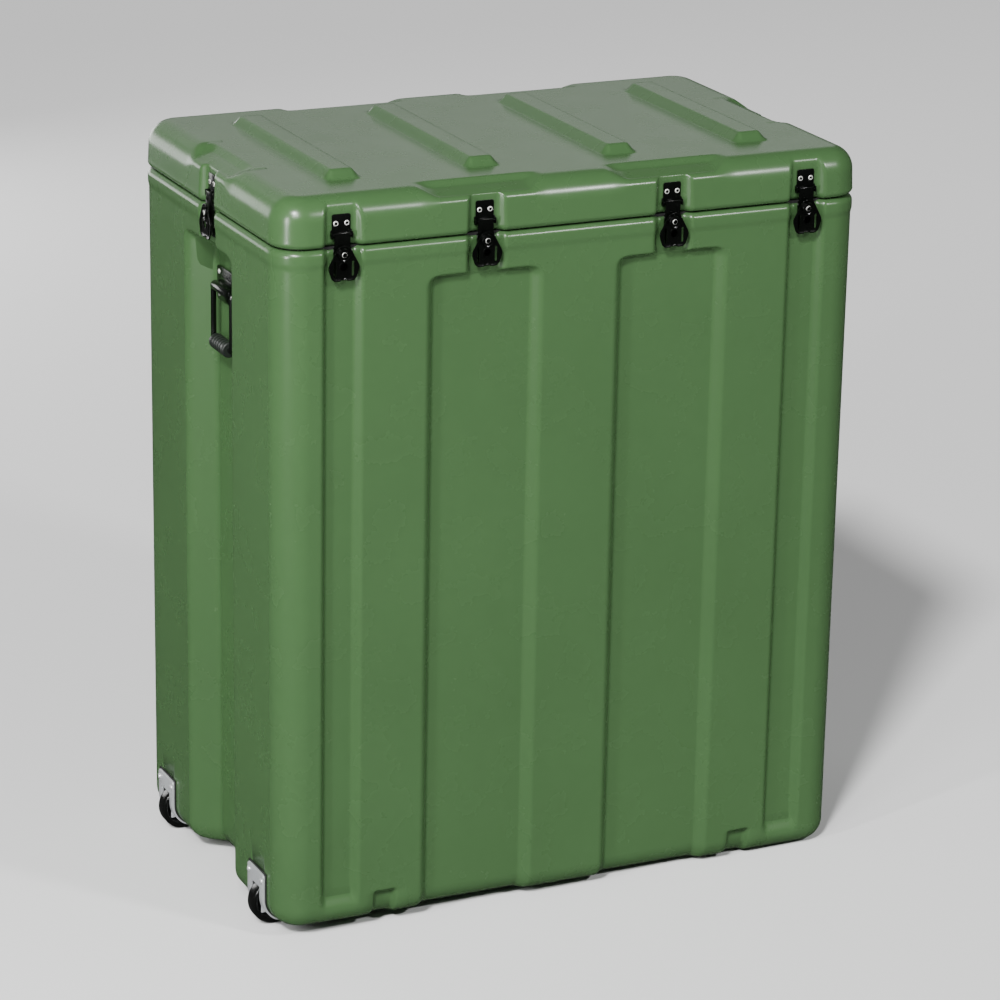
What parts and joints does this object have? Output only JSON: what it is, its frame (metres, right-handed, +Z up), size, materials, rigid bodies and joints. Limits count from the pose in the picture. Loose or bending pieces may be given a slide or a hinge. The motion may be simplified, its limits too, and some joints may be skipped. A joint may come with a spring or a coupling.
{
  "type": "hard equipment case",
  "caption": "Tall moulded equipment case with a ribbed lift-off lid, wing latches all round, drop handles on the ends and edge wheels on one end.",
  "frame": {"origin": "centre of the flat base", "axes": "+Z up, +X along the case away from the wheels, -Y to the front"},
  "size_m": [0.9976, 0.6222, 1.2015],
  "materials": {
    "shell_green": "semi-gloss moulded polyethylene with a fine orange-peel skin",
    "gasket_rubber": "soft matt black seal",
    "latch_black": "semi-gloss black coated steel",
    "rivet_steel": "bright turned steel",
    "pin_steel": "plain turned steel",
    "handle_black": "semi-gloss black coated steel",
    "grip_rubber": "satin moulded rubber",
    "bracket_zinc": "pale zinc-plated sheet",
    "bolt_steel": "bright plated steel",
    "pad_rubber": "matt black pad",
    "wheel_black": "glossy black moulded wheel"
  },
  "bodies": {
    "case": {"body_shell": "shell_green", "bracket_bolts": "bolt_steel", "bracket_pads": "pad_rubber", "handle_plate_left": "handle_black", "handle_plate_right": "handle_black", "handle_rivets": "rivet_steel", "latch_base_left": "latch_black", "latch_base_right": "latch_black", "latch_base_rivets": "rivet_steel", "latch_bases_back": "latch_black", "latch_bases_front": "latch_black", "latch_hinge_pins": "pin_steel", "lid_gasket": "gasket_rubber", "wheel_axles": "pin_steel", "wheel_bracket_back": "bracket_zinc", "wheel_bracket_front": "bracket_zinc"},
    "lid": {"lid_shell": "shell_green", "keeper_rivets": "rivet_steel", "latch_keepers_front": "latch_black", "latch_keepers_back": "latch_black", "latch_keeper_left": "latch_black", "latch_keeper_right": "latch_black"},
    "arm_front_1": {"latch_arm_front_1": "latch_black"},
    "hook_front_1": {"latch_hook_front_1": "latch_black"},
    "wing_front_1": {"latch_wing_front_1": "latch_black"},
    "arm_front_2": {"latch_arm_front_2": "latch_black"},
    "hook_front_2": {"latch_hook_front_2": "latch_black"},
    "wing_front_2": {"latch_wing_front_2": "latch_black"},
    "arm_front_3": {"latch_arm_front_3": "latch_black"},
    "hook_front_3": {"latch_hook_front_3": "latch_black"},
    "wing_front_3": {"latch_wing_front_3": "latch_black"},
    "arm_front_4": {"latch_arm_front_4": "latch_black"},
    "hook_front_4": {"latch_hook_front_4": "latch_black"},
    "wing_front_4": {"latch_wing_front_4": "latch_black"},
    "arm_back_1": {"latch_arm_back_1": "latch_black"},
    "hook_back_1": {"latch_hook_back_1": "latch_black"},
    "wing_back_1": {"latch_wing_back_1": "latch_black"},
    "arm_back_2": {"latch_arm_back_2": "latch_black"},
    "hook_back_2": {"latch_hook_back_2": "latch_black"},
    "wing_back_2": {"latch_wing_back_2": "latch_black"},
    "arm_back_3": {"latch_arm_back_3": "latch_black"},
    "hook_back_3": {"latch_hook_back_3": "latch_black"},
    "wing_back_3": {"latch_wing_back_3": "latch_black"},
    "arm_back_4": {"latch_arm_back_4": "latch_black"},
    "hook_back_4": {"latch_hook_back_4": "latch_black"},
    "wing_back_4": {"latch_wing_back_4": "latch_black"},
    "arm_left": {"latch_arm_left": "latch_black"},
    "hook_left": {"latch_hook_left": "latch_black"},
    "wing_left": {"latch_wing_left": "latch_black"},
    "arm_right": {"latch_arm_right": "latch_black"},
    "hook_right": {"latch_hook_right": "latch_black"},
    "wing_right": {"latch_wing_right": "latch_black"},
    "bail_left": {"handle_bail_left": "handle_black", "handle_grip_left": "grip_rubber"},
    "bail_right": {"handle_bail_right": "handle_black", "handle_grip_right": "grip_rubber"},
    "wheel_front": {"edge_wheel_front": "wheel_black"},
    "wheel_back": {"edge_wheel_back": "wheel_black"}
  },
  "joints": [
    {"name": "lid_lift", "type": "slide", "parent": "case", "child": "lid", "axis": [0, 0, 1], "range_m": [0, 0.3]},
    {"name": "arm_swing_front_1", "type": "hinge", "parent": "case", "child": "arm_front_1", "pos_m": [-0.389, -0.2969, 1.0533], "axis": [1, 0, 0], "range_deg": [0, 35]},
    {"name": "wing_turn_front_1", "type": "hinge", "parent": "arm_front_1", "child": "wing_front_1", "pos_m": [-0.389, -0.3056, 1.0847], "axis": [0, -1, 0], "range_deg": [0, 180]},
    {"name": "hook_draw_front_1", "type": "slide", "parent": "arm_front_1", "child": "hook_front_1", "axis": [0, 0, 1], "range_m": [0, 0.006]},
    {"name": "arm_swing_front_2", "type": "hinge", "parent": "case", "child": "arm_front_2", "pos_m": [-0.157, -0.2969, 1.0533], "axis": [1, 0, 0], "range_deg": [0, 35]},
    {"name": "wing_turn_front_2", "type": "hinge", "parent": "arm_front_2", "child": "wing_front_2", "pos_m": [-0.157, -0.3056, 1.0847], "axis": [0, -1, 0], "range_deg": [0, 180]},
    {"name": "hook_draw_front_2", "type": "slide", "parent": "arm_front_2", "child": "hook_front_2", "axis": [0, 0, 1], "range_m": [0, 0.006]},
    {"name": "arm_swing_front_3", "type": "hinge", "parent": "case", "child": "arm_front_3", "pos_m": [0.157, -0.2969, 1.0533], "axis": [1, 0, 0], "range_deg": [0, 35]},
    {"name": "wing_turn_front_3", "type": "hinge", "parent": "arm_front_3", "child": "wing_front_3", "pos_m": [0.157, -0.3056, 1.0847], "axis": [0, -1, 0], "range_deg": [0, 180]},
    {"name": "hook_draw_front_3", "type": "slide", "parent": "arm_front_3", "child": "hook_front_3", "axis": [0, 0, 1], "range_m": [0, 0.006]},
    {"name": "arm_swing_front_4", "type": "hinge", "parent": "case", "child": "arm_front_4", "pos_m": [0.389, -0.2969, 1.0533], "axis": [1, 0, 0], "range_deg": [0, 35]},
    {"name": "wing_turn_front_4", "type": "hinge", "parent": "arm_front_4", "child": "wing_front_4", "pos_m": [0.389, -0.3056, 1.0847], "axis": [0, -1, 0], "range_deg": [0, 180]},
    {"name": "hook_draw_front_4", "type": "slide", "parent": "arm_front_4", "child": "hook_front_4", "axis": [0, 0, 1], "range_m": [0, 0.006]},
    {"name": "arm_swing_back_1", "type": "hinge", "parent": "case", "child": "arm_back_1", "pos_m": [0.389, 0.2969, 1.0533], "axis": [-1, 0, 0], "range_deg": [0, 35]},
    {"name": "wing_turn_back_1", "type": "hinge", "parent": "arm_back_1", "child": "wing_back_1", "pos_m": [0.389, 0.3056, 1.0847], "axis": [0, 1, 0], "range_deg": [0, 180]},
    {"name": "hook_draw_back_1", "type": "slide", "parent": "arm_back_1", "child": "hook_back_1", "axis": [0, 0, 1], "range_m": [0, 0.006]},
    {"name": "arm_swing_back_2", "type": "hinge", "parent": "case", "child": "arm_back_2", "pos_m": [0.157, 0.2969, 1.0533], "axis": [-1, 0, 0], "range_deg": [0, 35]},
    {"name": "wing_turn_back_2", "type": "hinge", "parent": "arm_back_2", "child": "wing_back_2", "pos_m": [0.157, 0.3056, 1.0847], "axis": [0, 1, 0], "range_deg": [0, 180]},
    {"name": "hook_draw_back_2", "type": "slide", "parent": "arm_back_2", "child": "hook_back_2", "axis": [0, 0, 1], "range_m": [0, 0.006]},
    {"name": "arm_swing_back_3", "type": "hinge", "parent": "case", "child": "arm_back_3", "pos_m": [-0.157, 0.2969, 1.0533], "axis": [-1, 0, 0], "range_deg": [0, 35]},
    {"name": "wing_turn_back_3", "type": "hinge", "parent": "arm_back_3", "child": "wing_back_3", "pos_m": [-0.157, 0.3056, 1.0847], "axis": [0, 1, 0], "range_deg": [0, 180]},
    {"name": "hook_draw_back_3", "type": "slide", "parent": "arm_back_3", "child": "hook_back_3", "axis": [0, 0, 1], "range_m": [0, 0.006]},
    {"name": "arm_swing_back_4", "type": "hinge", "parent": "case", "child": "arm_back_4", "pos_m": [-0.389, 0.2969, 1.0533], "axis": [-1, 0, 0], "range_deg": [0, 35]},
    {"name": "wing_turn_back_4", "type": "hinge", "parent": "arm_back_4", "child": "wing_back_4", "pos_m": [-0.389, 0.3056, 1.0847], "axis": [0, 1, 0], "range_deg": [0, 180]},
    {"name": "hook_draw_back_4", "type": "slide", "parent": "arm_back_4", "child": "hook_back_4", "axis": [0, 0, 1], "range_m": [0, 0.006]},
    {"name": "arm_swing_left", "type": "hinge", "parent": "case", "child": "arm_left", "pos_m": [-0.4819, 0, 1.0533], "axis": [0, -1, 0], "range_deg": [0, 35]},
    {"name": "wing_turn_left", "type": "hinge", "parent": "arm_left", "child": "wing_left", "pos_m": [-0.4906, 0, 1.0847], "axis": [-1, 0, 0], "range_deg": [0, 180]},
    {"name": "hook_draw_left", "type": "slide", "parent": "arm_left", "child": "hook_left", "axis": [0, 0, 1], "range_m": [0, 0.006]},
    {"name": "arm_swing_right", "type": "hinge", "parent": "case", "child": "arm_right", "pos_m": [0.4819, 0, 1.0533], "axis": [0, 1, 0], "range_deg": [0, 35]},
    {"name": "wing_turn_right", "type": "hinge", "parent": "arm_right", "child": "wing_right", "pos_m": [0.4906, 0, 1.0847], "axis": [1, 0, 0], "range_deg": [0, 180]},
    {"name": "hook_draw_right", "type": "slide", "parent": "arm_right", "child": "hook_right", "axis": [0, 0, 1], "range_m": [0, 0.006]},
    {"name": "bail_swing_left", "type": "hinge", "parent": "case", "child": "bail_left", "pos_m": [-0.464, 0, 0.959], "axis": [0, 1, 0], "range_deg": [0, 90]},
    {"name": "bail_swing_right", "type": "hinge", "parent": "case", "child": "bail_right", "pos_m": [0.464, 0, 0.959], "axis": [0, -1, 0], "range_deg": [0, 90]},
    {"name": "wheel_spin_front", "type": "hinge", "parent": "case", "child": "wheel_front", "pos_m": [-0.4645, -0.204, 0.0195], "axis": [0, 1, 0], "continuous": true},
    {"name": "wheel_spin_back", "type": "hinge", "parent": "case", "child": "wheel_back", "pos_m": [-0.4645, 0.204, 0.0195], "axis": [0, 1, 0], "continuous": true}
  ],
  "couplings": [
    {"joint": "hook_draw_front_1", "follows": "wing_turn_front_1", "m_per_rad": 0.0019098},
    {"joint": "hook_draw_front_2", "follows": "wing_turn_front_2", "m_per_rad": 0.0019098},
    {"joint": "hook_draw_front_3", "follows": "wing_turn_front_3", "m_per_rad": 0.0019098},
    {"joint": "hook_draw_front_4", "follows": "wing_turn_front_4", "m_per_rad": 0.0019098},
    {"joint": "hook_draw_back_1", "follows": "wing_turn_back_1", "m_per_rad": 0.0019098},
    {"joint": "hook_draw_back_2", "follows": "wing_turn_back_2", "m_per_rad": 0.0019098},
    {"joint": "hook_draw_back_3", "follows": "wing_turn_back_3", "m_per_rad": 0.0019098},
    {"joint": "hook_draw_back_4", "follows": "wing_turn_back_4", "m_per_rad": 0.0019098},
    {"joint": "hook_draw_left", "follows": "wing_turn_left", "m_per_rad": 0.0019098},
    {"joint": "hook_draw_right", "follows": "wing_turn_right", "m_per_rad": 0.0019098}
  ]
}
